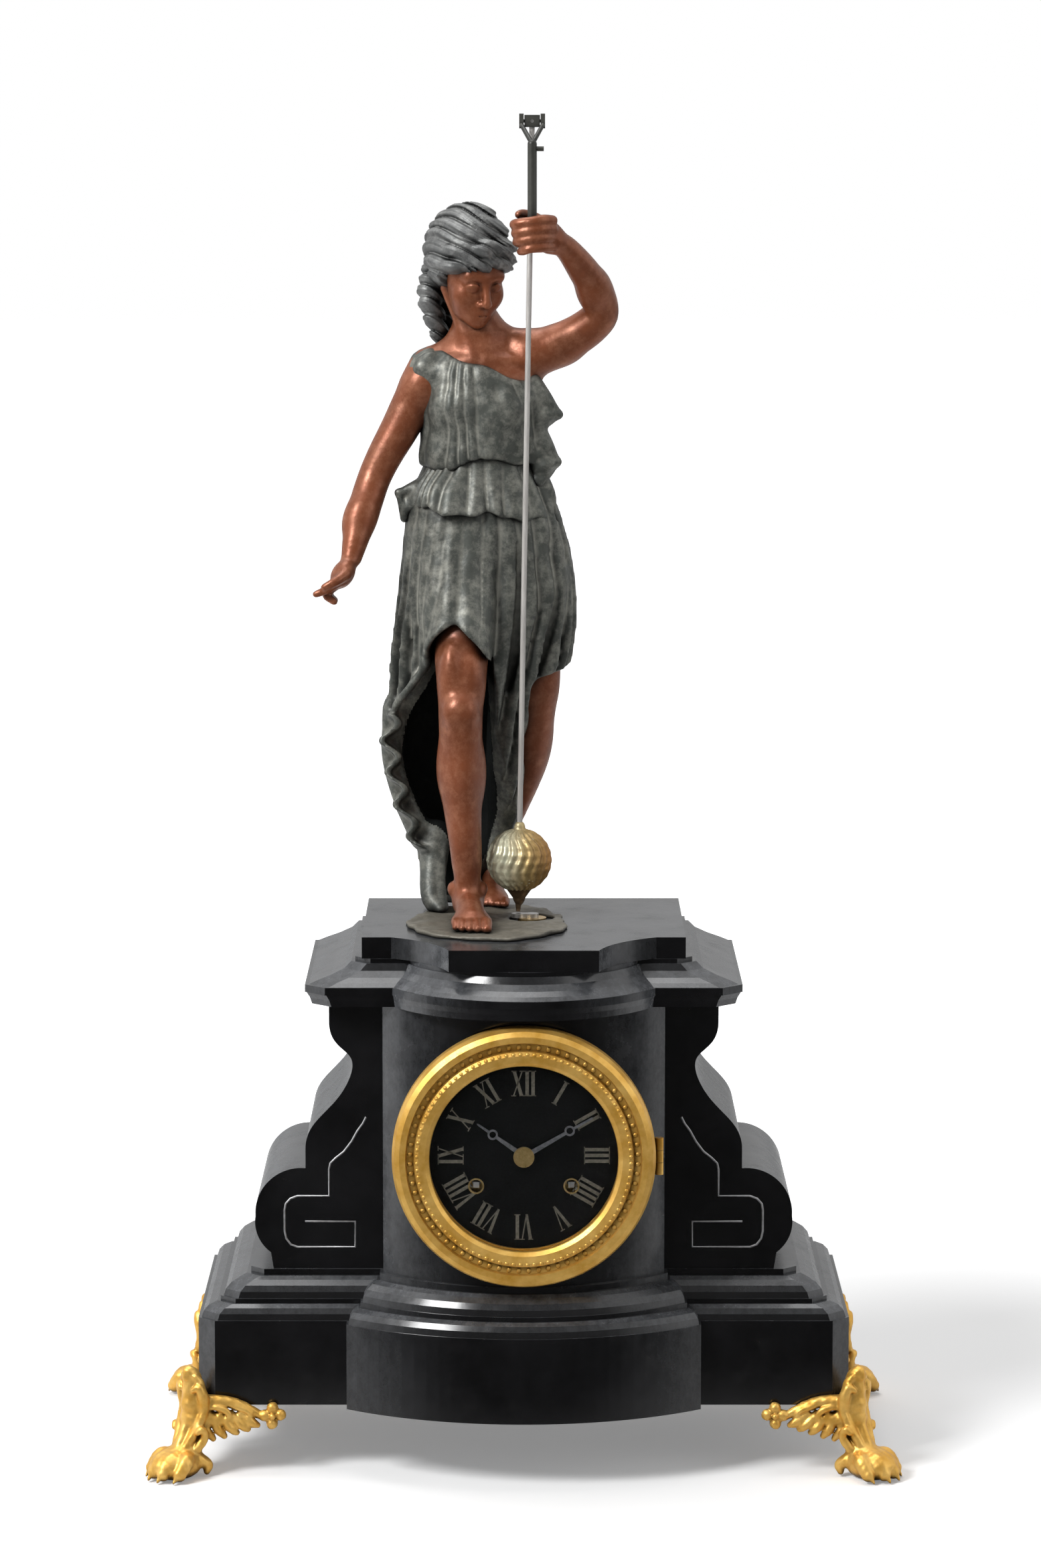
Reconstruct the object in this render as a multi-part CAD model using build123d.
from build123d import *
import math
import os

# A mantel clock in black stone with gilt feet, a hinged gilt bezel and a cast figure that holds
# up a gimbal, from which a conical pendulum hangs. The movement turns the foot of the pendulum
# with a crank. The origin is on the floor under the middle of the clock. The front looks along
# -Y, +X is to the right of someone facing the dial and +Z is up. All sizes are in millimetres.

# Levels of the case, from the floor up
foot_height = 40.4
plinth_height = 46.1
base_moulding_height = 30.3
cornice_height = 26.2
platform_height = 12.5

# Plan of the case. The flanks are the straight fronts on both sides of the bow.
case_back_y = 95.34
plinth_half_width = 190.0
plinth_flank_y = -75.0
plinth_bow_y = -120.0
plinth_bow_half = 103.0
plinth_cant = 10.0
bow_return = 10.0
ledge_half_width = 160.0
ledge_flank_y = -55.0
ledge_bow_y = -103.0
ledge_bow_half = 84.0
ledge_cant = 8.0
block_set_in = 2.0
block_edge_y = -62.0
block_back_y = 88.0
console_width = 75.0
console_back_y = 80.0
cornice_half_width = 127.0
cornice_flank_y = -72.0
cornice_bow_y = -118.0
cornice_bow_half = 76.0
cornice_cant = 12.0
cornice_top_half_width = 98.0
cornice_top_flank_y = -58.0
cornice_top_bow_y = -105.0
cornice_top_bow_half = 66.0
cornice_top_cant = 9.0
platform_half_width = 94.0
platform_flank_y = -57.0
platform_front_y = -103.0
platform_front_half = 43.0
platform_flank_width = 17.0
platform_back_y = 86.0

# Profiles of the mouldings: shares of the height and of the way from the wide to the narrow plan
base_profile_shares = (
    ((0, 0), (0.13, 0)),
    ((0.13, 0.06), (0.25, 0.10), (0.35, 0.20), (0.41, 0.36)),
    ((0.41, 0.42), (0.50, 0.42)),
    ((0.50, 0.48), (0.62, 0.52), (0.73, 0.62), (0.82, 0.78), (0.88, 0.92)),
    ((0.88, 1), (1, 1)),
)
cornice_profile_shares = (
    ((0, 0.14), (0.14, 0.10), (0.27, 0.03)),
    ((0.27, 0), (0.44, 0)),
    ((0.44, 0.08), (0.52, 0.26), (0.62, 0.52), (0.75, 0.78), (0.90, 0.92)),
    ((0.90, 1), (1, 1)),
)

# Outline of a scroll console, outwards and up from its inner bottom corner
console_shares = {
    "bottom": (0.86, 0),
    "bulb_low": (0.88, 0.06),
    "bulb_turn": (0.975, 0.115),
    "bulb_wide": (1, 0.197),
    "bulb_top": (0.88, 0.335),
    "step_low": (0.607, 0.377),
    "step_high": (0.607, 0.449),
    "swell": (0.50, 0.565),
    "hollow": (0.33, 0.655),
    "neck": (0.245, 0.784),
    "top_low": (0.419, 0.925),
    "top": (0.419, 1),
}

# Dial, bezel and their seat on the round boss of the dial block
block_below_bezel = 2.5
block_above_bezel = 4.6
boss_radius = 73.0
boss_proud = 2.0
movement_bore_radius = 58.0
bezel_radius = 75.7
dial_opening_radius = 54.0
seat_thickness = 2.5
seat_lip = 0.5
dial_radius = 57.0
dial_thickness = 1.5
dial_sink = 1.0
dial_foot_radius = 1.5
dial_foot_circle = 41.0
dial_foot_angles = (30, 150, 270)
bezel_gap = 0.3
bezel_depth = 12.0
bezel_lip = 1.0
bezel_lip_share = 0.75
bezel_wall = 1.6
glass_thickness = 1.5
glass_inset = 2.2
glass_fit = 0.05
winding_x = 27.4
winding_drop = 17.9
winding_hole_radius = 4.6
ferrule_wall = 0.9
ferrule_proud = 0.5
bezel_profile_shares = (
    (1, 0), (1, 0.45), (0.93, 0.80), (0.80, 0.95), (0.64, 0.95), (0.60, 0.78),
    (0.44, 0.72), (0.40, 0.90), (0.30, 1), (0.12, 0.95), (0.02, 0.82), (0, bezel_lip_share),
)

# Hinges of the bezel and of the rear door
hinge_pin_radius = 1.0
hinge_knuckle_radius = 2.4
hinge_knuckle_length = 7.0
hinge_gap = 0.2
hinge_run_fit = 0.05
hinge_stand_off = 2.0
hinge_leaf_thickness = 1.2

# Rear ring, door and the straps that draw the movement against the case
rear_ring_radius = 66.0
rear_ring_thickness = 2.0
rear_ring_opening_radius = 50.0
door_radius = 60.0
door_thickness = 1.5
door_gap = 0.3
door_knob_radius = 4.0
door_knob_length = 7.0
door_knob_inset = 9.0
door_vent_radius = 3.0
door_vent_circle = 30.0
door_vent_count = 8
strap_width = 12.0
strap_thickness = 4.0
strap_screw_radius = 1.2
strap_screw_head_radius = 2.4
strap_screw_head_height = 1.1
strap_screw_length = 9.0

# Movement between two round brass plates
plate_radius = 50.0
plate_flat = 1.0
plate_thickness = 2.0
motion_work_room = 10.5
plate_spacing = 40.0
pillar_radius = 3.2
pillar_waist_radius = 2.4
pillar_circle = 43.0
pillar_angles = (4, 60, 120, 176, 270)
pivot_fit = 0.05
barrel_radius = 16.5
barrel_length = 26.0
barrel_tooth_depth = 1.6
barrel_teeth = 48
barrel_flange = 3.0
barrel_lead = 6.5
winding_arbor_radius = 2.6
winding_square = 3.4
winding_square_length = 9.0
centre_arbor_radius = 1.2
centre_wheel_teeth = 42
centre_wheel_module = 0.64
centre_wheel_thickness = 1.5
centre_wheel_lead = 2.5

# Motion work: the cannon pinion drives the minute wheel, whose pinion drives the hour wheel
cannon_teeth = 12
minute_wheel_teeth = 36
minute_pinion_teeth = 10
hour_wheel_teeth = 40
motion_module = 0.8
motion_wheel_thickness = 1.8
motion_lead = 0.8
motion_gap = 0.6
pinion_margin = 0.4
cannon_pipe_radius = 2.2
hour_pipe_radius = 3.5
pipe_fit = 0.08
minute_stud_radius = 1.5
minute_wheel_angle = 60
tooth_top_share = 0.62
tooth_root_share = 1.05
tooth_tip_width_share = 0.17
tooth_root_width_share = 0.42

# Hands and the collet in front of them
hand_thickness = 0.8
hour_hand_lead = 1.6
hand_spacing = 1.3
minute_hand_length = 46.0
hour_hand_length = 33.0
hand_hub_radius = 5.2
hand_root_width = 3.0
hand_tip_width = 1.0
hand_moon_radius = 3.0
hand_moon_hole_radius = 1.9
hand_moon_place_share = 0.66
minute_hand_angle = 60
hour_hand_angle = -55
collet_radius = 6.0
collet_thickness = 1.2

# Bell, hammer and the cock of the contrate wheel, behind the back plate
bell_radius = 27.0
bell_depth = 25.0
bell_wall = 1.6
bell_x = -10.0
bell_drop = 12.0
bell_stand_off = 6.0
bell_post_radius = 2.2
bell_nut_radius = 4.0
bell_nut_height = 2.5
hammer_stud_radius = 1.5
hammer_stud_x = -42.0
hammer_stud_rise = 8.0
hammer_hub_radius = 3.4
hammer_arm_width = 3.0
hammer_thickness = 3.0
hammer_head_radius = 3.5
hammer_head_length = 8.0
hammer_gap = 0.8
hammer_direction = 120
contrate_teeth = 48
crank_pinion_teeth = 8
drive_module = 0.85
contrate_rise = 31.0
contrate_thickness = 2.5
contrate_rim = 3.0
contrate_arbor_radius = 1.6
cock_thickness = 2.0
cock_width = 8.0
cock_pillar_radius = 3.0
cock_pillar_x = 26.0
cock_pillar_rise = 36.0
cock_gap = 1.5

# Conical pendulum, its crank and the gimbal
pendulum_tilt = 1.0
rod_radius = 1.6
bob_radius = 19.4
bob_over_ground = 11.9
bob_nut_radius = 4.5
bob_nut_height = 4.0
tail_radius = 8.0
tail_collar = 6.0
tail_tip_radius = 1.2
crank_gap = 1.2
crank_arm_thickness = 2.4
crank_arm_width = 6.0
crank_eye_radius = 4.0
crank_slot_radius = 1.7
crank_arbor_radius = 1.6
crank_bush_radius = 4.0
crank_flange_radius = 8.5
crank_flange_height = 2.0
crank_pinion_height = 4.0
gimbal_width = 9.0
gimbal_height = 7.0
gimbal_depth = 6.0
gimbal_pin_radius = 1.0
gimbal_fit = 0.05
gimbal_side_gap = 0.4
fork_cheek_width = 2.6
fork_cheek_height = 8.5
fork_cheek_depth = 7.0
fork_rise = 13.0
fork_stem_radius = 2.7
fork_stem_rise = 52.8
fork_set_back = 17.0
fork_screw_radius = 1.4
fork_screw_length = 4.0

# Feet: a lion's paw under a leaf that clasps the corner of the plinth
foot_pad = 34.0
foot_pad_thickness = 6.0
foot_reach = 25.0
paw_half_length = 17.0
paw_half_width = 15.0
paw_rise = 17.0
toe_radius = 5.6
toe_count = 4
toe_spread = 30
foot_leg_top_radius = 13.0
foot_leg_low_radius = 9.5
leaf_thickness = 4.5
leaf_reach = 42.0
leaf_height = 18.0
leaf_crown = 27.0
foot_screw_radius = 2.0
foot_screw_length = 18.0
foot_screw_head_radius = 4.0
foot_screw_head_height = 2.5
foot_screw_inset = 22.0

# The figure. Its stations are shares of its height, from the middle of its waist at platform level.
figure_height = 424.0
figure_x = -24.0
figure_y = 36.0
ground_thickness = 3.0
ground_size_shares = (0.118, 0.1604)
ground_shift_shares = (0.0071, -0.1132)
ground_clear = 9.0
stud_radius = 3.0
stud_nut_radius = 6.5
stud_nut_height = 6.0
stud_pocket_clear = 1.5
stud_spacing = 44.0
skirt_shares = (
    (0.632, 0, 0, 0.083, 0.054),
    (0.580, -0.005, 0.005, 0.094, 0.061),
    (0.533, -0.002, 0.009, 0.106, 0.068),
    (0.450, 0.002, 0.017, 0.118, 0.073),
    (0.356, -0.009, 0.021, 0.116, 0.073),
    (0.274, -0.028, 0.026, 0.106, 0.068),
    (0.203, -0.040, 0.028, 0.094, 0.064),
    (0.132, -0.042, 0.028, 0.071, 0.052),
    (0.073, -0.050, 0.024, 0.045, 0.038),
)
torso_shares = (
    (0.632, 0, 0, 0.083, 0.054),
    (0.686, 0.005, 0, 0.087, 0.059),
    (0.726, 0.002, 0, 0.088, 0.061),
    (0.769, -0.006, 0.002, 0.085, 0.052),
    (0.797, -0.007, 0.002, 0.060, 0.040),
    (0.812, -0.008, 0.002, 0.034, 0.030),
)
right_leg_shares = (
    (-0.028, -0.028, 0.439, 0.044),
    (-0.031, -0.071, 0.368, 0.042),
    (-0.031, -0.099, 0.297, 0.036),
    (-0.032, -0.097, 0.198, 0.038),
    (-0.026, -0.108, 0.132, 0.028),
    (-0.022, -0.116, 0.068, 0.021),
    (-0.021, -0.114, 0.033, 0.022),
)
right_foot_shares = (
    (-0.021, -0.088, 0.016, 0.018),
    (-0.021, -0.132, 0.023, 0.021),
    (-0.021, -0.184, 0.014, 0.029),
    (-0.021, -0.222, 0.006, 0.024),
)
left_leg_shares = (
    (0.075, 0.024, 0.387, 0.040),
    (0.071, 0.033, 0.297, 0.037),
    (0.052, 0.047, 0.203, 0.033),
    (0.028, 0.066, 0.120, 0.024),
    (0.016, 0.075, 0.066, 0.019),
    (0.016, 0.050, 0.033, 0.018),
    (0.015, 0.012, 0.018, 0.011),
)
left_arm_shares = (
    (0.068, 0.002, 0.769, 0.033),
    (0.123, -0.005, 0.792, 0.029),
    (0.163, -0.019, 0.835, 0.025),
    (0.142, -0.061, 0.899, 0.021),
    (0.104, -0.104, 0.943, 0.016),
    (0.080, -0.118, 0.950, 0.017),
)
right_arm_shares = (
    (-0.076, 0, 0.757, 0.031),
    (-0.116, -0.005, 0.686, 0.026),
    (-0.151, -0.014, 0.620, 0.023),
    (-0.172, -0.038, 0.561, 0.021),
    (-0.182, -0.061, 0.507, 0.015),
)
right_hand_shares = (
    (-0.180, -0.059, 0.512, 0.014),
    (-0.203, -0.080, 0.471, 0.018),
    (-0.234, -0.094, 0.452, 0.006),
)
fist_share = (0.068, -0.120, 0.951)
fist_size_shares = (0.031, 0.024, 0.027)
neck_shares = (
    (-0.008, 0.000, 0.800, 0.029),
    (-0.007, -0.007, 0.840, 0.026),
    (-0.009, -0.014, 0.878, 0.026),
)
head_share = (-0.010, -0.026, 0.912)
head_size_shares = (0.047, 0.059, 0.068)
hair_share = (-0.021, -0.005, 0.930)
hair_size_shares = (0.064, 0.066, 0.068)
bun_share = (-0.050, 0.040, 0.880)
bun_size_shares = (0.030, 0.034, 0.040)
flutter_shares = ((0.092, 0.020, 0.700), (0.094, 0.022, 0.620), (-0.104, 0.024, 0.580))
flutter_size_shares = (0.022, 0.030, 0.034)
drape_end_shares = (
    (-0.061, 0.010, 0.100, 0.034),
    (-0.068, -0.010, 0.050, 0.026),
    (-0.070, -0.030, 0.008, 0.026),
)

overrun = 1.0

# Levels and places that follow from the sizes above
plinth_bottom = foot_height
plinth_top = plinth_bottom + plinth_height
ledge_top = plinth_top + base_moulding_height
dial_centre_height = ledge_top + block_below_bezel + bezel_radius
block_top = dial_centre_height + bezel_radius + block_above_bezel
dial_block_height = block_top - ledge_top
cornice_top = block_top + cornice_height
platform_top = cornice_top + platform_height
ground_top = platform_top + ground_thickness
block_half_width = ledge_bow_half - block_set_in
block_bow_y = ledge_bow_y + block_set_in
console_front_y = ledge_flank_y + block_set_in
boss_face_y = block_bow_y - boss_proud
seat_face_y = boss_face_y - seat_thickness
dial_face_y = boss_face_y - dial_sink
dial_back_y = dial_face_y + dial_thickness
bezel_back_y = seat_face_y - bezel_gap
front_plate_y = dial_back_y + motion_work_room
back_plate_y = front_plate_y + plate_thickness + plate_spacing
back_plate_rear_y = back_plate_y + plate_thickness
rear_ring_back_y = block_back_y + rear_ring_thickness


def figure_point(x_share, y_share, z_share):
    """A place on the figure, from shares of its height."""
    return (
        figure_x + x_share * figure_height,
        figure_y + y_share * figure_height,
        platform_top + z_share * figure_height,
    )


fist_place = figure_point(*fist_share)
pendulum_x = fist_place[0]
pendulum_y = fist_place[1] + fork_set_back
stem_top_z = fist_place[2] + fork_stem_rise
pivot_z = stem_top_z + fork_rise
tilt_sine = math.sin(math.radians(pendulum_tilt))
tilt_cosine = math.cos(math.radians(pendulum_tilt))


def export(node, part):
    """Write one node of the assembly."""
    os.makedirs("parts", exist_ok=True)
    export_step(part, f"parts/{node}.step")


def rod_y(radius, y_front, y_back, x=0, z=0):
    """A round bar along Y, between two depths."""
    return Pos(x, (y_front + y_back) / 2, z) * Rot(90, 0, 0) * Cylinder(radius, y_back - y_front)


def rod_z(radius, z_low, z_high, x=0, y=0):
    """An upright round bar, between two heights."""
    return Pos(x, y, (z_low + z_high) / 2) * Cylinder(radius, z_high - z_low)


def rod_x(radius, x_left, x_right, y=0, z=0):
    """A round bar along X."""
    return Pos((x_left + x_right) / 2, y, z) * Rot(0, 90, 0) * Cylinder(radius, x_right - x_left)


def block(x_left, x_right, y_front, y_back, z_low, z_high):
    """A box between six faces."""
    middle = Pos((x_left + x_right) / 2, (y_front + y_back) / 2, (z_low + z_high) / 2)
    return middle * Box(x_right - x_left, y_back - y_front, z_high - z_low)


def ellipsoid(place, size):
    """A ball stretched to three half axes."""
    return Pos(*place) * scale(Sphere(1), by=tuple(size))


def facing(drawing, thickness, y_back):
    """A flat piece drawn as seen from the front, with its back at a depth."""
    return Pos(0, y_back, dial_centre_height) * Rot(90, 0, 0) * extrude(drawing, thickness)


def polar(radius, degrees):
    """A point on a circle, counted from the right towards the top."""
    return (radius * math.cos(math.radians(degrees)), radius * math.sin(math.radians(degrees)))


def gear_drawing(teeth, module, turn=0):
    """Outline of a clock wheel with slim straight-sided teeth, one of them at the given turn."""
    pitch = 360 / teeth
    tip_radius = teeth * module / 2 + tooth_top_share * module
    root_radius = teeth * module / 2 - tooth_root_share * module
    points = []
    for tooth in range(teeth):
        middle = turn + tooth * pitch
        points.append(polar(root_radius, middle - tooth_root_width_share * pitch / 2))
        points.append(polar(tip_radius, middle - tooth_tip_width_share * pitch / 2))
        points.append(polar(tip_radius, middle + tooth_tip_width_share * pitch / 2))
        points.append(polar(root_radius, middle + tooth_root_width_share * pitch / 2))
    return make_face(Polyline(*points, close=True))


def plan_face(half_width, flank_y, bow_y, bow_half, cant, step, back_y):
    """Plan of a stone layer: canted front corners, flanks and a bow on the middle."""
    right = [
        (half_width, back_y), (half_width, flank_y + cant),
        (half_width - cant, flank_y), (bow_half, flank_y),
    ]
    if step > 0:
        right.append((bow_half, flank_y - step))
    left = [(-x, y) for x, y in right]
    bow = ThreePointArc(left[-1], (0, bow_y), right[-1])
    back = Line(left[0], right[0])
    return make_face(Polyline(*left) + bow + Polyline(*right) + back)


def moulding(bottom, height, wide, narrow, profile_shares):
    """A stone moulding, run by run, between a wide and a narrow plan."""
    solid = None
    for run in profile_shares:
        sections = []
        for height_share, plan_share in run:
            plan = [w + (n - w) * plan_share for w, n in zip(wide, narrow)]
            sections.append(Pos(0, 0, bottom + height * height_share) * plan_face(*plan))
        layer = loft(sections, ruled=True)
        solid = layer if solid is None else solid + layer
    return solid


def limb(stations, side=(1, 0, 0)):
    """A smooth limb through round sections square to its line."""
    places = [Vector(*figure_point(*station[:3])) for station in stations]
    sections = []
    for number, station in enumerate(stations):
        before = places[max(number - 1, 0)]
        after = places[min(number + 1, len(places) - 1)]
        section = Plane(origin=places[number], x_dir=side, z_dir=after - before)
        sections.append(section * Circle(station[3] * figure_height))
    return loft(sections)


def trunk(stations):
    """A body form through level oval sections."""
    sections = []
    for z_share, x_share, y_share, width_share, depth_share in stations:
        oval = Ellipse(width_share * figure_height, depth_share * figure_height)
        sections.append(Pos(*figure_point(x_share, y_share, z_share)) * oval)
    return loft(sections)


def figure_ball(place_share, size_shares):
    """A rounded form of the figure."""
    return ellipsoid(figure_point(*place_share), [share * figure_height for share in size_shares])


def tilted(part):
    """Turn a pendulum piece, drawn hanging plumb from the pivot, to its tilt at rest."""
    return Pos(pendulum_x, pendulum_y, pivot_z) * Rot(0, pendulum_tilt, 0) * part


# Stone case

plinth_plan = (
    plinth_half_width, plinth_flank_y, plinth_bow_y, plinth_bow_half,
    plinth_cant, bow_return, case_back_y,
)
ledge_plan = (
    ledge_half_width, ledge_flank_y, ledge_bow_y, ledge_bow_half,
    ledge_cant, bow_return, case_back_y,
)
cornice_plan = (
    cornice_half_width, cornice_flank_y, cornice_bow_y, cornice_bow_half,
    cornice_cant, 0, case_back_y,
)
cornice_top_plan = (
    cornice_top_half_width, cornice_top_flank_y, cornice_top_bow_y, cornice_top_bow_half,
    cornice_top_cant, 0, case_back_y,
)
foot_corners = {
    "front_left_foot": (-1, -1, plinth_flank_y),
    "front_right_foot": (1, -1, plinth_flank_y),
    "rear_left_foot": (-1, 1, case_back_y),
    "rear_right_foot": (1, 1, case_back_y),
}


def screw_place(corner):
    """Where the screw of a foot goes up into the plinth."""
    x_side, y_side, corner_y = corner
    return (x_side * (plinth_half_width - foot_screw_inset), corner_y - y_side * foot_screw_inset)


def build_plinth():
    plinth = Pos(0, 0, plinth_bottom) * extrude(plan_face(*plinth_plan), plinth_height)
    for corner in foot_corners.values():
        x, y = screw_place(corner)
        depth = foot_screw_length - foot_pad_thickness
        plinth -= rod_z(foot_screw_radius, plinth_bottom - overrun, plinth_bottom + depth, x, y)
    return plinth


def build_dial_block():
    edge = (block_half_width, block_edge_y)
    bow = ThreePointArc((-edge[0], edge[1]), (0, block_bow_y), edge)
    back_right = (block_half_width, block_back_y)
    back_left = (-block_half_width, block_back_y)
    sides = Polyline(edge, back_right, back_left, (-edge[0], edge[1]))
    body = Pos(0, 0, ledge_top) * extrude(make_face(bow + sides), dial_block_height)
    body += rod_y(boss_radius, boss_face_y, 0, z=dial_centre_height)
    body -= rod_y(
        movement_bore_radius, boss_face_y - overrun, block_back_y + overrun, z=dial_centre_height
    )
    return body - bush_hole(dial_centre_height, block_top)


def bush_hole(z_low, z_high):
    """The upright hole in the stone for the bush of the crank."""
    return rod_z(crank_bush_radius, z_low, z_high + overrun, pendulum_x, pendulum_y)


def stud_places():
    """Where the two studs of the figure go through the platform."""
    middle_x, middle_y = figure_point(*ground_shift_shares, 0)[:2]
    for side in (-1, 1):
        yield middle_x - stud_spacing / 2, middle_y + side * stud_spacing


def build_console(side):
    def place(key):
        out_share, up_share = console_shares[key]
        x = block_half_width + out_share * console_width
        return (x, ledge_top + up_share * dial_block_height)

    start = (block_half_width, ledge_top)
    top_inner = (block_half_width, block_top)
    outline = Polyline(start, place("bottom"), place("bulb_low"))
    outline += ThreePointArc(place("bulb_low"), place("bulb_turn"), place("bulb_wide"))
    outline += ThreePointArc(place("bulb_wide"), place("bulb_top"), place("step_low"))
    outline += Line(place("step_low"), place("step_high"))
    scroll = [place(key) for key in ("step_high", "swell", "hollow", "neck", "top_low")]
    outline += Spline(*scroll, tangents=((0, 1), (0, 1)))
    outline += Polyline(place("top_low"), place("top"), top_inner, start)
    console = extrude(make_face(outline), console_back_y - console_front_y)
    console = Pos(0, console_back_y, 0) * Rot(90, 0, 0) * console
    return console if side > 0 else mirror(console, about=Plane.YZ)


def build_cornice():
    cornice = moulding(
        block_top, cornice_height, cornice_plan, cornice_top_plan, cornice_profile_shares
    )
    for x, y in stud_places():
        pocket = stud_nut_height + stud_pocket_clear
        radius = stud_nut_radius + stud_pocket_clear
        cornice -= rod_z(radius, cornice_top - pocket, cornice_top + overrun, x, y)
    return cornice - bush_hole(block_top - overrun, cornice_top)


def build_platform():
    sweep_x = platform_half_width - platform_flank_width
    dip = ((sweep_x + platform_front_half) / 2, (platform_flank_y + platform_front_y) / 2)
    hollow = (dip[0] - platform_flank_width / 4, dip[1] + platform_flank_width / 4)
    right = [(platform_half_width, platform_back_y), (platform_half_width, platform_flank_y)]
    right.append((sweep_x, platform_flank_y))
    front_corner = (platform_front_half, platform_front_y)
    outline = Polyline(*right)
    outline += ThreePointArc(right[-1], hollow, front_corner)
    outline += Line(front_corner, (-front_corner[0], front_corner[1]))
    left = [(-x, y) for x, y in right]
    outline += ThreePointArc((-front_corner[0], front_corner[1]), (-hollow[0], hollow[1]), left[-1])
    outline += Polyline(left[2], left[1], left[0], right[0])
    slab = Pos(0, 0, cornice_top) * extrude(make_face(outline), platform_height)
    for x, y in stud_places():
        slab -= rod_z(stud_radius, cornice_top - overrun, platform_top + overrun, x, y)
    return slab - bush_hole(cornice_top - overrun, platform_top)


def build_foot():
    """The front right foot. The leaf clasps the corner, the paw steps out on the diagonal."""
    corner = (plinth_half_width, plinth_flank_y)
    pad = block(
        corner[0] - foot_pad, corner[0], corner[1], corner[1] + foot_pad,
        plinth_bottom - foot_pad_thickness, plinth_bottom,
    )
    diagonal = Pos(corner[0], corner[1], 0) * Rot(0, 0, -45)
    reach = foot_reach * math.sqrt(2) - paw_half_length
    paw = ellipsoid((reach - plinth_cant, 0, toe_radius), (paw_half_length, paw_half_width, paw_rise))
    for toe in range(toe_count):
        turn = (toe - (toe_count - 1) / 2) * toe_spread
        out = reach - plinth_cant + (paw_half_length - toe_radius) * math.cos(math.radians(turn))
        across = paw_half_width * math.sin(math.radians(turn))
        paw += Pos(out, across, toe_radius) * Sphere(toe_radius)
    leg_low = Pos(reach - plinth_cant, 0, paw_rise / 2) * Circle(foot_leg_low_radius)
    leg_top = Pos(-foot_leg_top_radius, 0, plinth_bottom - foot_pad_thickness / 2)
    leg = loft([leg_low, leg_top * Circle(foot_leg_top_radius)])
    foot = pad + diagonal * (paw + leg)
    foot += leaf_wing(corner)
    foot += mirror(leaf_wing(corner), about=Plane(corner, z_dir=(1, 1, 0)))
    floor_cut = block(
        corner[0] - foot_pad, corner[0] + foot_pad, corner[1] - foot_pad, corner[1] + foot_pad,
        -foot_pad, 0,
    )
    x, y = screw_place((1, -1, plinth_flank_y))
    low = plinth_bottom - foot_pad_thickness
    foot -= rod_z(foot_screw_radius, low - overrun, plinth_bottom + overrun, x, y)
    return foot - floor_cut


def leaf_wing(corner):
    """One wing of the leaf, along the front of the plinth."""
    low = plinth_bottom - foot_pad_thickness
    root = corner[0] - plinth_cant
    crown = low + leaf_crown
    tip = (root - leaf_reach, low + leaf_height / 2)
    waist = (root - leaf_reach / 2, low + leaf_height)
    belly = (root - leaf_reach / 2, low)
    outer = corner[0] + leaf_thickness - plinth_cant / 2
    outline = Polyline((outer, low), (outer, crown), (root, crown))
    outline += Spline((root, crown), waist, tip)
    outline += Spline(tip, belly, (root, low))
    outline += Line((root, low), (outer, low))
    wing = extrude(make_face(outline), leaf_thickness)
    return Pos(0, corner[1] + plinth_cant / 2, 0) * Rot(90, 0, 0) * wing + Pos(
        0, corner[1], 0
    ) * Rot(90, 0, 0) * wing


def build_foot_screws():
    screws = None
    low = plinth_bottom - foot_pad_thickness
    for corner in foot_corners.values():
        x, y = screw_place(corner)
        screw = rod_z(foot_screw_radius, low, low + foot_screw_length, x, y)
        screw += rod_z(foot_screw_head_radius, low - foot_screw_head_height, low, x, y)
        screws = screw if screws is None else screws + screw
    return screws


def build_case():
    export("plinth", build_plinth())
    export("base_moulding", moulding(
        plinth_top, base_moulding_height, plinth_plan, ledge_plan, base_profile_shares
    ))
    export("dial_block", build_dial_block())
    export("right_console", build_console(1))
    export("left_console", build_console(-1))
    export("cornice", build_cornice())
    export("platform", build_platform())
    middle = Plane.XZ.offset(-(plinth_flank_y + case_back_y) / 2)
    stone = Pos(0, 0, plinth_bottom) * extrude(plan_face(*plinth_plan), plinth_height)
    front_right = build_foot() - stone
    rear_right = mirror(build_foot(), about=middle) - stone
    export("front_right_foot", front_right)
    export("front_left_foot", mirror(front_right, about=Plane.YZ))
    export("rear_right_foot", rear_right)
    export("rear_left_foot", mirror(rear_right, about=Plane.YZ))
    export("foot_screws", build_foot_screws())


# Dial, bezel and rear door

def build_dial():
    dial = rod_y(dial_radius, dial_face_y, dial_back_y, z=dial_centre_height)
    for side in (-1, 1):
        dial -= rod_y(
            winding_hole_radius, dial_face_y - overrun, dial_back_y + overrun,
            side * winding_x, dial_centre_height - winding_drop,
        )
    for angle in dial_foot_angles:
        x, z = polar(dial_foot_circle, angle)
        dial += rod_y(dial_foot_radius, dial_back_y, front_plate_y, x, dial_centre_height + z)
    hour_hole = hour_pipe_radius + pipe_fit
    return dial - rod_y(
        hour_hole, dial_face_y - overrun, dial_back_y + overrun, z=dial_centre_height
    )


def build_ferrules():
    ferrules = None
    for side in (-1, 1):
        x = side * winding_x
        z = dial_centre_height - winding_drop
        ferrule = rod_y(winding_hole_radius, dial_face_y - ferrule_proud, dial_back_y, x, z)
        bore = winding_hole_radius - ferrule_wall
        ferrule -= rod_y(bore, dial_face_y - overrun, dial_back_y + overrun, x, z)
        ferrules = ferrule if ferrules is None else ferrules + ferrule
    return ferrules


bezel_hinge_x = bezel_radius + hinge_stand_off
bezel_hinge_y = seat_face_y
door_hinge_x = -(door_radius + hinge_stand_off)
door_hinge_y = rear_ring_back_y + door_gap + door_thickness / 2


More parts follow.
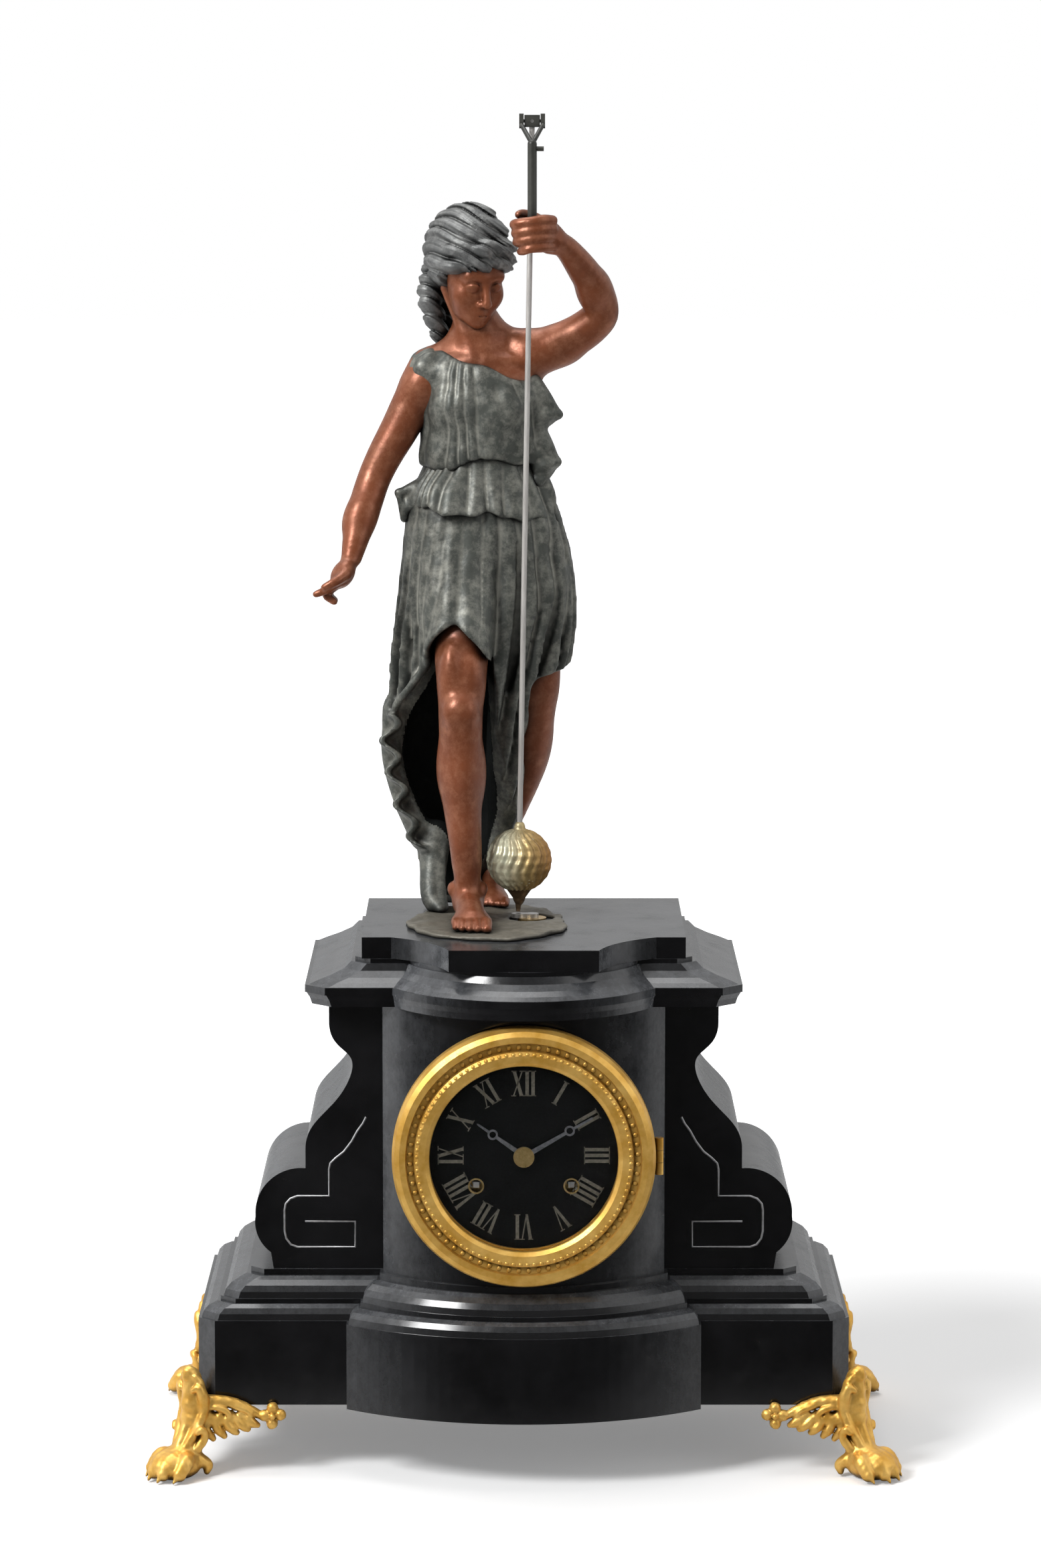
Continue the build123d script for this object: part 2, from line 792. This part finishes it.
def knuckles(x, y, numbers):
    """Barrels of an upright hinge, numbered from below, bored for the pin."""
    solid = None
    for number in numbers:
        pitch = hinge_knuckle_length + hinge_gap
        low = dial_centre_height + (number - 1) * pitch - hinge_knuckle_length / 2
        barrel = rod_z(hinge_knuckle_radius, low, low + hinge_knuckle_length, x, y)
        solid = barrel if solid is None else solid + barrel
    return solid


def pin_hole(x, y):
    reach = 2 * hinge_knuckle_length
    bore = hinge_pin_radius + hinge_run_fit
    return rod_z(bore, dial_centre_height - reach, dial_centre_height + reach, x, y)


def knuckle_leaf(x_from, x_to, y_front, y_back, numbers):
    """The flat leaves that join the barrels of a hinge to their plate."""
    solid = None
    for number in numbers:
        pitch = hinge_knuckle_length + hinge_gap
        low = dial_centre_height + (number - 1) * pitch - hinge_knuckle_length / 2
        leaf = block(x_from, x_to, y_front, y_back, low, low + hinge_knuckle_length)
        solid = leaf if solid is None else solid + leaf
    return solid


def build_bezel_seat():
    seat = rod_y(bezel_radius, seat_face_y, boss_face_y, z=dial_centre_height)
    lip = dial_opening_radius + seat_lip
    seat -= rod_y(lip, seat_face_y - overrun, boss_face_y + overrun, z=dial_centre_height)
    seat -= rod_y(dial_radius, dial_face_y, boss_face_y + overrun, z=dial_centre_height)
    clear = hinge_knuckle_radius + hinge_gap
    middle = dial_centre_height
    half = hinge_knuckle_length / 2 + hinge_gap
    seat -= rod_z(clear, middle - half, middle + half, bezel_hinge_x, bezel_hinge_y)
    ends = (0, 2)
    inner = bezel_radius - hinge_stand_off
    leaf = knuckle_leaf(
        inner, bezel_hinge_x, seat_face_y, seat_face_y + hinge_leaf_thickness, ends
    )
    seat += leaf + knuckles(bezel_hinge_x, bezel_hinge_y, ends)
    return seat - pin_hole(bezel_hinge_x, bezel_hinge_y)


def build_bezel_ring():
    band = bezel_radius - dial_opening_radius
    points = [
        (dial_opening_radius + out * band, bezel_back_y - deep * bezel_depth)
        for out, deep in bezel_profile_shares
    ]
    points.append((dial_opening_radius, bezel_back_y))
    ring = Pos(0, 0, dial_centre_height) * revolve(make_face(Polyline(*points, close=True)), Axis.Y)
    rebate = dial_opening_radius + glass_inset + glass_fit
    ring -= rod_y(rebate, glass_front_y(), bezel_back_y + overrun, z=dial_centre_height)
    hollow_front = bezel_back_y - bezel_depth / 2 + bezel_wall
    hollow = rod_y(
        bezel_radius - bezel_wall, hollow_front, bezel_back_y + overrun, z=dial_centre_height
    )
    ring -= hollow - rod_y(
        rebate + bezel_wall, hollow_front - overrun, bezel_back_y + overrun, z=dial_centre_height
    )
    clear = hinge_knuckle_radius + hinge_gap
    pitch = hinge_knuckle_length + hinge_gap
    half = hinge_knuckle_length / 2 + pitch + hinge_gap
    middle = dial_centre_height
    ring -= rod_z(clear, middle - half, middle + half, bezel_hinge_x, bezel_hinge_y)
    inner = bezel_radius - hinge_stand_off - bezel_wall
    leaf = knuckle_leaf(
        inner, bezel_hinge_x, bezel_back_y - hinge_leaf_thickness, bezel_back_y, (1,)
    )
    ring += leaf + knuckles(bezel_hinge_x, bezel_hinge_y, (1,))
    return ring - pin_hole(bezel_hinge_x, bezel_hinge_y)


def glass_front_y():
    """Depth of the front of the glass, behind the lip of the bezel."""
    return bezel_back_y - bezel_depth * bezel_lip_share + bezel_lip


def build_bezel_glass():
    front = glass_front_y()
    radius = dial_opening_radius + glass_inset
    return rod_y(radius, front, front + glass_thickness, z=dial_centre_height)


def build_rear_ring():
    ring = rod_y(rear_ring_radius, block_back_y, rear_ring_back_y, z=dial_centre_height)
    ring -= rod_y(
        rear_ring_opening_radius, block_back_y - overrun, rear_ring_back_y + overrun,
        z=dial_centre_height,
    )
    for side in (-1, 1):
        x = side * strap_screw_x
        ring -= rod_y(
            strap_screw_radius, block_back_y - overrun, rear_ring_back_y + overrun,
            x, dial_centre_height,
        )
        ring -= rod_y(
            strap_screw_head_radius, rear_ring_back_y - strap_screw_head_height,
            rear_ring_back_y + overrun, x, dial_centre_height,
        )
    clear = hinge_knuckle_radius + hinge_gap
    pitch = hinge_knuckle_length + hinge_gap
    half = hinge_knuckle_length / 2 + pitch + hinge_gap
    middle = dial_centre_height
    ring -= rod_z(clear, middle - half, middle + half, door_hinge_x, door_hinge_y)
    ends = (0, 2)
    leaf = knuckle_leaf(
        door_hinge_x - hinge_stand_off - hinge_knuckle_radius, door_hinge_x,
        rear_ring_back_y - hinge_leaf_thickness, rear_ring_back_y, ends,
    )
    ring += leaf + knuckles(door_hinge_x, door_hinge_y, ends)
    return ring - pin_hole(door_hinge_x, door_hinge_y)


def build_rear_door():
    front = rear_ring_back_y + door_gap
    door = rod_y(door_radius, front, front + door_thickness, z=dial_centre_height)
    for vent in range(door_vent_count):
        x, z = polar(door_vent_circle, 360 * vent / door_vent_count)
        door -= rod_y(
            door_vent_radius, front - overrun, front + door_thickness + overrun,
            x, dial_centre_height + z,
        )
    clear = hinge_knuckle_radius + hinge_gap
    pitch = hinge_knuckle_length + hinge_gap
    half = hinge_knuckle_length / 2 + pitch + hinge_gap
    middle = dial_centre_height
    door -= rod_z(clear, middle - half, middle + half, door_hinge_x, door_hinge_y)
    inner = -(door_radius - hinge_stand_off)
    leaf = knuckle_leaf(door_hinge_x, inner, front, front + door_thickness, (1,))
    door += leaf + knuckles(door_hinge_x, door_hinge_y, (1,))
    return door - pin_hole(door_hinge_x, door_hinge_y)


def build_door_knob():
    face = rear_ring_back_y + door_gap + door_thickness
    neck = rod_y(
        door_knob_radius / 2, face, face + door_knob_length - door_knob_radius,
        door_radius - door_knob_inset, dial_centre_height,
    )
    ball = Pos(
        door_radius - door_knob_inset, face + door_knob_length - door_knob_radius / 2,
        dial_centre_height,
    ) * Sphere(door_knob_radius)
    return neck + ball


def build_hinge_pins():
    reach = 3 * hinge_knuckle_length / 2 + hinge_gap
    low = dial_centre_height - reach
    high = dial_centre_height + reach
    pins = rod_z(hinge_pin_radius, low, high, bezel_hinge_x, bezel_hinge_y)
    return pins + rod_z(hinge_pin_radius, low, high, door_hinge_x, door_hinge_y)


def build_dial_group():
    export("dial", build_dial())
    export("winding_ferrules", build_ferrules())
    export("bezel_seat", build_bezel_seat())
    export("bezel_ring", build_bezel_ring())
    export("bezel_glass", build_bezel_glass())
    export("rear_ring", build_rear_ring())
    export("rear_door", build_rear_door())
    export("door_knob", build_door_knob())
    export("hinge_pins", build_hinge_pins())


# Movement

strap_inner_x = plate_radius - plate_flat
strap_screw_x = strap_inner_x + strap_thickness / 2
motion_wheel_back_y = front_plate_y - motion_lead
hour_wheel_back_y = motion_wheel_back_y - motion_wheel_thickness - motion_gap
hour_hand_back_y = dial_face_y - hour_hand_lead
minute_hand_back_y = hour_hand_back_y - hand_thickness - hand_spacing
motion_distance = (cannon_teeth + minute_wheel_teeth) * motion_module / 2
hour_module = 2 * motion_distance / (minute_pinion_teeth + hour_wheel_teeth)
minute_wheel_place = polar(motion_distance, minute_wheel_angle)
hammer_stud_z = dial_centre_height + hammer_stud_rise
bell_z = dial_centre_height - bell_drop
contrate_z = dial_centre_height + contrate_rise
cock_pillar_z = dial_centre_height + cock_pillar_rise
pinion_pitch_radius = crank_pinion_teeth * drive_module / 2
contrate_radius = contrate_teeth * drive_module / 2
contrate_pitch_y = pendulum_y - pinion_pitch_radius
contrate_root_y = contrate_pitch_y - tooth_root_share * drive_module
contrate_tip_y = contrate_pitch_y + tooth_top_share * drive_module
contrate_front_y = contrate_root_y - contrate_thickness
pinion_z = contrate_z + contrate_radius


def plate(y_front, holes):
    """A round movement plate with flats for the straps and with pivot holes."""
    y_back = y_front + plate_thickness
    solid = rod_y(plate_radius, y_front, y_back, z=dial_centre_height)
    for side in (-1, 1):
        edges = sorted((side * strap_inner_x, side * (plate_radius + overrun)))
        solid -= block(
            edges[0], edges[1], y_front - overrun, y_back + overrun,
            dial_centre_height - plate_radius, dial_centre_height + plate_radius,
        )
    for x, z, radius in holes:
        solid -= rod_y(radius + pivot_fit, y_front - overrun, y_back + overrun, x, z)
    return solid


def arbor_holes():
    """Places and radii of the arbors that turn in both plates."""
    holes = [(0, dial_centre_height, centre_arbor_radius)]
    for side in (-1, 1):
        holes.append((side * winding_x, dial_centre_height - winding_drop, winding_arbor_radius))
    return holes


def build_front_plate():
    solid = plate(front_plate_y, arbor_holes())
    x, z = minute_wheel_place
    stud_front = hour_wheel_back_y - motion_wheel_thickness
    return solid + rod_y(
        minute_stud_radius, stud_front, front_plate_y + plate_thickness / 2,
        x, dial_centre_height + z,
    )


def build_back_plate():
    solid = plate(back_plate_y, arbor_holes() + [(pendulum_x, contrate_z, contrate_arbor_radius)])
    rear = back_plate_rear_y + bell_stand_off
    return solid + rod_y(
        hammer_stud_radius, back_plate_y + plate_thickness / 2, rear, hammer_stud_x, hammer_stud_z
    )


def build_pillars():
    pillars = None
    front = front_plate_y + plate_thickness
    for angle in pillar_angles:
        x, z = polar(pillar_circle, angle)
        pillar = rod_y(pillar_waist_radius, front, back_plate_y, x, dial_centre_height + z)
        for end in (front, back_plate_y - pillar_radius):
            pillar += rod_y(pillar_radius, end, end + pillar_radius, x, dial_centre_height + z)
        pillars = pillar if pillars is None else pillars + pillar
    return pillars


def build_straps():
    straps = None
    for side in (-1, 1):
        edges = sorted((side * strap_inner_x, side * (strap_inner_x + strap_thickness)))
        strap = block(
            edges[0], edges[1], front_plate_y, block_back_y,
            dial_centre_height - strap_width / 2, dial_centre_height + strap_width / 2,
        )
        strap -= rod_y(
            strap_screw_radius, rear_ring_back_y - strap_screw_length, block_back_y + overrun,
            side * strap_screw_x, dial_centre_height,
        )
        straps = strap if straps is None else straps + strap
    return straps


def build_strap_screws():
    screws = None
    for side in (-1, 1):
        x = side * strap_screw_x
        head_y = rear_ring_back_y - strap_screw_head_height
        screw = rod_y(
            strap_screw_radius, rear_ring_back_y - strap_screw_length, head_y, x, dial_centre_height
        )
        screw += rod_y(strap_screw_head_radius, head_y, rear_ring_back_y, x, dial_centre_height)
        screws = screw if screws is None else screws + screw
    return screws


def build_barrel(side):
    """A spring barrel with its great wheel, bored for the winding arbor."""
    x = side * winding_x
    z = dial_centre_height - winding_drop
    front = front_plate_y + plate_thickness + barrel_lead
    drum_radius = barrel_radius - barrel_tooth_depth
    drum = rod_y(drum_radius, front, front + barrel_length, x, z)
    wheel = extrude(gear_drawing(barrel_teeth, 2 * drum_radius / barrel_teeth), barrel_flange)
    drum += Pos(x, front + barrel_flange, z) * Rot(90, 0, 0) * wheel
    bore = winding_arbor_radius + pivot_fit
    return drum - rod_y(bore, front - overrun, front + barrel_length + overrun, x, z)


def build_winding_arbor(side):
    """A winding arbor between the plates, with a square for the key behind the dial."""
    x = side * winding_x
    z = dial_centre_height - winding_drop
    arbor = rod_y(winding_arbor_radius, front_plate_y, back_plate_rear_y, x, z)
    half = winding_square / 2
    square_front = front_plate_y - winding_square_length
    return arbor + block(x - half, x + half, square_front, front_plate_y, z - half, z + half)


def build_centre_wheel():
    front = front_plate_y + plate_thickness + centre_wheel_lead
    drawing = gear_drawing(centre_wheel_teeth, centre_wheel_module)
    wheel = facing(drawing, centre_wheel_thickness, front + centre_wheel_thickness)
    tip = minute_hand_back_y - hand_thickness - collet_thickness
    return wheel + rod_y(centre_arbor_radius, tip, back_plate_rear_y, z=dial_centre_height)


def build_cannon_pinion():
    turn = minute_wheel_angle
    back = motion_wheel_back_y + pinion_margin
    teeth = gear_drawing(cannon_teeth, motion_module, turn)
    cannon = facing(teeth, motion_wheel_thickness + 2 * pinion_margin, back)
    pipe_front = minute_hand_back_y - hand_thickness
    cannon += rod_y(cannon_pipe_radius, pipe_front, back, z=dial_centre_height)
    return cannon - rod_y(
        centre_arbor_radius, pipe_front - overrun, back + overrun, z=dial_centre_height
    )


def build_minute_wheel():
    x, z = minute_wheel_place
    turn = minute_wheel_angle + 180 + 180 / minute_wheel_teeth
    wheel = facing(
        gear_drawing(minute_wheel_teeth, motion_module, turn), motion_wheel_thickness,
        motion_wheel_back_y,
    )
    pinion_turn = minute_wheel_angle + 180
    wheel += facing(
        gear_drawing(minute_pinion_teeth, hour_module, pinion_turn),
        2 * motion_wheel_thickness + motion_gap + pinion_margin, motion_wheel_back_y,
    )
    wheel -= rod_y(
        minute_stud_radius + pivot_fit, dial_face_y, front_plate_y + overrun, z=dial_centre_height
    )
    return Pos(x, 0, z) * wheel


def build_hour_wheel():
    turn = minute_wheel_angle + 180 / hour_wheel_teeth
    wheel = facing(
        gear_drawing(hour_wheel_teeth, hour_module, turn), motion_wheel_thickness, hour_wheel_back_y
    )
    pipe_front = hour_hand_back_y - hand_thickness
    wheel += rod_y(hour_pipe_radius, pipe_front, hour_wheel_back_y, z=dial_centre_height)
    bore = cannon_pipe_radius + pipe_fit
    return wheel - rod_y(bore, pipe_front - overrun, hour_wheel_back_y + overrun, z=dial_centre_height)


def build_hand(length, angle, bore, y_back):
    """A hand with a pierced moon on a slim taper."""
    moon_y = length * hand_moon_place_share
    bar = make_face(Polyline(
        (-hand_root_width / 2, 0), (hand_root_width / 2, 0),
        (hand_tip_width / 2, length - hand_tip_width), (0, length),
        (-hand_tip_width / 2, length - hand_tip_width), close=True,
    ))
    drawing = bar + Circle(hand_hub_radius) + Pos(0, moon_y) * Circle(hand_moon_radius)
    drawing -= Pos(0, moon_y) * Circle(hand_moon_hole_radius)
    drawing -= Circle(bore)
    return facing(Rot(0, 0, -angle) * drawing, hand_thickness, y_back)


def build_collet():
    front = minute_hand_back_y - hand_thickness - collet_thickness
    collet = rod_y(collet_radius, front, minute_hand_back_y - hand_thickness, z=dial_centre_height)
    return collet - rod_y(
        centre_arbor_radius, front - overrun, minute_hand_back_y, z=dial_centre_height
    )


def build_bell():
    """A cast bell, open towards the plate, held at its crown."""
    rim_y = back_plate_rear_y + bell_stand_off
    crown_y = rim_y + bell_depth
    outer = make_face(
        Line((0, rim_y), (bell_radius, rim_y))
        + Spline((bell_radius, rim_y), (0, crown_y), tangents=((0, 1), (-1, 0)))
        + Line((0, crown_y), (0, rim_y))
    )
    inner_radius = bell_radius - bell_wall
    inner_crown = crown_y - bell_wall
    inner = make_face(
        Line((0, rim_y), (inner_radius, rim_y))
        + Spline((inner_radius, rim_y), (0, inner_crown), tangents=((0, 1), (-1, 0)))
        + Line((0, inner_crown), (0, rim_y))
    )
    shell = revolve(outer - inner, Axis.Y)
    shell = Pos(bell_x, 0, bell_z) * shell
    return shell - build_bell_post()


def build_bell_post():
    crown_y = back_plate_rear_y + bell_stand_off + bell_depth
    post = rod_y(bell_post_radius, back_plate_rear_y, crown_y + bell_nut_height, bell_x, bell_z)
    post += rod_y(
        bell_nut_radius, crown_y - bell_wall - bell_nut_height, crown_y - bell_wall, bell_x, bell_z
    )
    return post + rod_y(bell_nut_radius, crown_y, crown_y + bell_nut_height, bell_x, bell_z)


def build_hammer():
    stand = bell_radius + hammer_gap + hammer_head_radius
    out = polar(stand, hammer_direction)
    head_place = (bell_x + out[0], bell_z + out[1])
    front = back_plate_rear_y + hammer_gap
    back = front + hammer_thickness
    hub = rod_y(hammer_hub_radius, front, back, hammer_stud_x, hammer_stud_z)
    run = Vector(head_place[0] - hammer_stud_x, 0, head_place[1] - hammer_stud_z)
    middle = Pos(hammer_stud_x + run.X / 2, (front + back) / 2, hammer_stud_z + run.Z / 2)
    slope = math.degrees(math.atan2(run.Z, run.X))
    arm = middle * Rot(0, -slope, 0) * Box(run.length, hammer_thickness, hammer_arm_width)
    head = rod_y(hammer_head_radius, front, front + hammer_head_length, *head_place)
    bore = hammer_stud_radius + pivot_fit
    return hub + arm + head - rod_y(
        bore, front - overrun, back + overrun, hammer_stud_x, hammer_stud_z
    )


def build_contrate_wheel():
    """A crown wheel whose teeth look back, towards the pinion of the crank."""
    rim_inner = contrate_radius - contrate_rim / 2
    rim_outer = contrate_radius + contrate_rim / 2
    wheel = rod_y(rim_outer, contrate_front_y, contrate_root_y)
    pitch = 360 / contrate_teeth
    root = math.radians(pitch) * contrate_radius * tooth_root_width_share / 2
    tip = math.radians(pitch) * contrate_radius * tooth_tip_width_share / 2
    tooth = make_face(Polyline(
        (-root, contrate_root_y), (root, contrate_root_y), (tip, contrate_tip_y),
        (-tip, contrate_tip_y), close=True,
    ))
    tooth = Pos(0, 0, rim_inner) * extrude(tooth, contrate_rim)
    for number in range(contrate_teeth):
        wheel += Rot(0, (number + 1 / 2) * pitch, 0) * tooth
    wheel += rod_y(contrate_arbor_radius, back_plate_y, contrate_front_y)
    return Pos(pendulum_x, 0, contrate_z) * wheel


def build_cock():
    """The cock behind the bell that carries the rear of the contrate arbor."""
    back = contrate_front_y - cock_gap
    front = back - cock_thickness
    ends = ((pendulum_x, contrate_z), (cock_pillar_x, cock_pillar_z))
    run = Vector(ends[1][0] - ends[0][0], 0, ends[1][1] - ends[0][1])
    middle = Pos((ends[0][0] + ends[1][0]) / 2, (front + back) / 2, (ends[0][1] + ends[1][1]) / 2)
    slope = math.degrees(math.atan2(run.Z, run.X))
    arm = middle * Rot(0, -slope, 0) * Box(run.length, cock_thickness, cock_width)
    for x, z in ends:
        arm += rod_y(cock_width / 2, front, back, x, z)
    arm += rod_y(cock_pillar_radius, back_plate_rear_y, back, *ends[1])
    bore = contrate_arbor_radius + pivot_fit
    return arm - rod_y(bore, front - overrun, back + overrun, *ends[0])


def build_movement():
    export("movement_front_plate", build_front_plate())
    export("movement_back_plate", build_back_plate())
    export("movement_pillars", build_pillars())
    export("case_straps", build_straps())
    export("strap_screws", build_strap_screws())
    export("going_barrel", build_barrel(1))
    export("strike_barrel", build_barrel(-1))
    export("going_arbor", build_winding_arbor(1))
    export("strike_arbor", build_winding_arbor(-1))
    export("centre_wheel", build_centre_wheel())
    export("cannon_pinion", build_cannon_pinion())
    export("minute_wheel", build_minute_wheel())
    export("hour_wheel", build_hour_wheel())
    export("minute_hand", build_hand(
        minute_hand_length, minute_hand_angle, cannon_pipe_radius, minute_hand_back_y
    ))
    export("hour_hand", build_hand(
        hour_hand_length, hour_hand_angle, hour_pipe_radius, hour_hand_back_y
    ))
    export("hand_collet", build_collet())
    export("bell", build_bell())
    export("bell_post", build_bell_post())
    export("hammer", build_hammer())
    export("contrate_wheel", build_contrate_wheel())
    export("arbor_cock", build_cock())


# Pendulum, crank and gimbal

arm_low_z = platform_top + crank_flange_height + pivot_fit
crank_top_z = arm_low_z + crank_arm_thickness
tail_tip_drop = (pivot_z - crank_top_z - crank_gap) / tilt_cosine
bob_drop = (pivot_z - ground_top - bob_over_ground - bob_radius) / tilt_cosine
crank_throw = tail_tip_drop * tilt_sine
bush_low_z = pinion_z + crank_pinion_height / 2 + pivot_fit


def build_crank_bush():
    """The long bush that carries the crank through the stone."""
    bush = rod_z(crank_bush_radius, bush_low_z, platform_top, pendulum_x, pendulum_y)
    bush += rod_z(
        crank_flange_radius, platform_top, platform_top + crank_flange_height, pendulum_x, pendulum_y
    )
    bore = crank_arbor_radius + pivot_fit
    return bush - rod_z(
        bore, bush_low_z - overrun, platform_top + crank_flange_height + overrun,
        pendulum_x, pendulum_y,
    )


def build_crank():
    """Crank arbor with its leaf pinion below and a slotted arm above the platform."""
    half = crank_pinion_height / 2
    pinion = extrude(gear_drawing(crank_pinion_teeth, drive_module, -90), crank_pinion_height)
    crank = Pos(0, 0, pinion_z - half) * pinion
    crank += rod_z(crank_arbor_radius, pinion_z - half, arm_low_z + crank_arm_thickness)
    arm_high = arm_low_z + crank_arm_thickness
    crank += block(
        -crank_throw, 0, -crank_arm_width / 2, crank_arm_width / 2, arm_low_z, arm_high
    )
    crank += rod_z(crank_eye_radius, arm_low_z, arm_high)
    crank += rod_z(crank_eye_radius, arm_low_z, arm_high, -crank_throw)
    crank -= rod_z(crank_slot_radius, arm_low_z - overrun, arm_high + overrun, -crank_throw)
    return Pos(pendulum_x, pendulum_y, 0) * crank


def build_gimbal():
    """The block that rocks fore and aft in the fork, with the cross pin of the pendulum."""
    half = gimbal_width / 2
    body = block(
        -half, half, -gimbal_depth / 2, gimbal_depth / 2, -gimbal_height / 2, gimbal_height / 2
    )
    eye = gimbal_pin_radius + rod_radius + gimbal_side_gap
    slot = rod_radius + gimbal_side_gap
    body -= block(-eye, eye, -slot, slot, -gimbal_height, gimbal_height)
    body -= rod_y(gimbal_pin_radius, -gimbal_depth, gimbal_depth)
    cheek = half + gimbal_side_gap + fork_cheek_width
    for side in (-1, 1):
        ends = sorted((side * half, side * cheek))
        body += rod_x(gimbal_pin_radius, ends[0], ends[1])
    return Pos(pendulum_x, pendulum_y, pivot_z) * body


def build_gimbal_pin():
    pin = rod_y(gimbal_pin_radius, -gimbal_depth / 2, gimbal_depth / 2)
    return Pos(pendulum_x, pendulum_y, pivot_z) * pin


def build_fork():
    """The stem in the hand and its two prongs, with cheeks that carry the gimbal."""
    stem_y = fist_place[1]
    stem = rod_z(fork_stem_radius, fist_place[2], stem_top_z, fist_place[0], stem_y)
    stem += Pos(fist_place[0], stem_y, stem_top_z) * Sphere(fork_stem_radius)
    inner = gimbal_width / 2 + gimbal_side_gap
    fork = stem
    for side in (-1, 1):
        middle_x = pendulum_x + side * (inner + fork_cheek_width / 2)
        cheek = block(
            middle_x - fork_cheek_width / 2, middle_x + fork_cheek_width / 2,
            pendulum_y - fork_cheek_depth / 2, pendulum_y + fork_cheek_depth / 2,
            pivot_z - fork_cheek_height / 2, pivot_z + fork_cheek_height / 2,
        )
        foot_place = Vector(fist_place[0], stem_y, stem_top_z)
        cheek_place = Vector(
            middle_x, pendulum_y - fork_cheek_depth / 2, pivot_z - fork_cheek_height / 4
        )
        low = Plane(origin=foot_place, x_dir=(1, 0, 0), z_dir=cheek_place - foot_place)
        high = Plane(origin=cheek_place, x_dir=(1, 0, 0), z_dir=cheek_place - foot_place)
        prong = loft([low * Circle(fork_stem_radius / 2), high * Circle(fork_cheek_width / 2)])
        fork += prong + cheek
    tab = rod_x(
        fork_screw_radius, fist_place[0], fist_place[0] + fork_stem_radius + fork_screw_length,
        stem_y, stem_top_z - fork_stem_radius,
    )
    bar = inner + 2 * fork_cheek_width
    return fork + tab - rod_x(
        gimbal_pin_radius + gimbal_fit, pendulum_x - bar, pendulum_x + bar, pendulum_y, pivot_z
    )


def build_rod():
    rod = rod_z(rod_radius, bob_radius - bob_drop, 0)
    eye = rod_y(gimbal_pin_radius + rod_radius, -rod_radius, rod_radius)
    hole = gimbal_pin_radius + gimbal_fit
    return tilted(rod + eye - rod_y(hole, -gimbal_depth, gimbal_depth))


def build_bob():
    bob = Pos(0, 0, -bob_drop) * Sphere(bob_radius)
    bob_top = bob_radius - bob_drop
    bob += rod_z(bob_nut_radius, bob_top - bob_nut_height, bob_top + bob_nut_height)
    bob -= rod_z(rod_radius, bob_top, 0)
    seat_z = -bob_drop - bob_radius + tail_collar
    return tilted(bob - rod_z(tail_radius + overrun, -bob_drop - 2 * bob_radius, seat_z))


def build_tail():
    """The tapered finger under the bob that the crank leads round."""
    seat_z = -bob_drop - bob_radius + tail_collar
    cup = Pos(0, 0, seat_z) * Circle(tail_radius)
    waist = Pos(0, 0, seat_z - tail_collar) * Circle(tail_radius * tail_collar / bob_radius)
    tip = Pos(0, 0, -tail_tip_drop) * Circle(tail_tip_radius)
    return tilted(loft([cup, waist, tip], ruled=True))


def build_pendulum():
    export("crank_bush", build_crank_bush())
    export("crank", build_crank())
    export("gimbal_block", build_gimbal())
    export("gimbal_pin", build_gimbal_pin())
    export("suspension_fork", build_fork())
    export("pendulum_rod", build_rod())
    export("pendulum_bob", build_bob())
    export("pendulum_tail", build_tail())


# Cast figure

def build_ground():
    place = figure_point(*ground_shift_shares, 0)
    oval = Pos(*place) * Ellipse(*(share * figure_height for share in ground_size_shares))
    ground = extrude(oval, ground_thickness)
    clear = crank_throw + crank_eye_radius + ground_clear
    return ground - rod_z(
        clear, platform_top - overrun, ground_top + overrun, pendulum_x, pendulum_y
    )


def build_fixings():
    fixings = None
    for x, y in stud_places():
        low = cornice_top - stud_nut_height
        stud = rod_z(stud_radius, low, platform_top, x, y)
        stud += rod_z(stud_nut_radius, low, cornice_top, x, y)
        fixings = stud if fixings is None else fixings + stud
    return fixings


def build_foot_form(stations):
    """A foot of the figure, through upright oval sections from heel to toes."""
    sections = []
    for x_share, y_share, z_share, width_share in stations:
        x, y, z = figure_point(x_share, y_share, z_share)
        centre_z = (z - platform_top) + ground_top
        half_height = centre_z - ground_top
        oval = Ellipse(width_share * figure_height, half_height)
        sections.append(Plane(origin=(x, y, centre_z), x_dir=(1, 0, 0), z_dir=(0, -1, 0)) * oval)
    return loft(sections)


def above_ground(part):
    """Trim a cast form flat where it stands on the ground plate."""
    return part - block(
        figure_x - figure_height, figure_x + figure_height, figure_y - figure_height,
        figure_y + figure_height, -figure_height, ground_top,
    )


def build_figure():
    skirt = trunk(skirt_shares)
    torso = trunk(torso_shares)
    for number, place in enumerate(flutter_shares):
        fold = figure_ball(place, flutter_size_shares)
        if number == len(flutter_shares) - 1:
            skirt += fold
        else:
            torso += fold
    torso -= skirt
    skirt += limb(drape_end_shares)
    skirt = above_ground(skirt)
    right_leg = above_ground(limb(right_leg_shares) + build_foot_form(right_foot_shares))
    left_leg = above_ground(limb(left_leg_shares))
    left_arm = limb(left_arm_shares, side=(0, 1, 0)) + figure_ball(fist_share, fist_size_shares)
    right_arm = limb(right_arm_shares) + limb(right_hand_shares)
    head = limb(neck_shares) + figure_ball(head_share, head_size_shares)
    head += figure_ball(hair_share, hair_size_shares) + figure_ball(bun_share, bun_size_shares)
    stem = rod_z(fork_stem_radius, fist_place[2], stem_top_z, fist_place[0], fist_place[1])
    export("figure_ground", build_ground())
    export("figure_fixings", build_fixings())
    export("figure_skirt", skirt)
    export("figure_torso", torso)
    export("figure_right_leg", right_leg - skirt)
    export("figure_left_leg", left_leg - skirt)
    export("figure_left_arm", left_arm - torso - stem)
    export("figure_right_arm", right_arm - torso - skirt)
    export("figure_head", head - torso)


build_case()
build_dial_group()
build_movement()
build_pendulum()
build_figure()
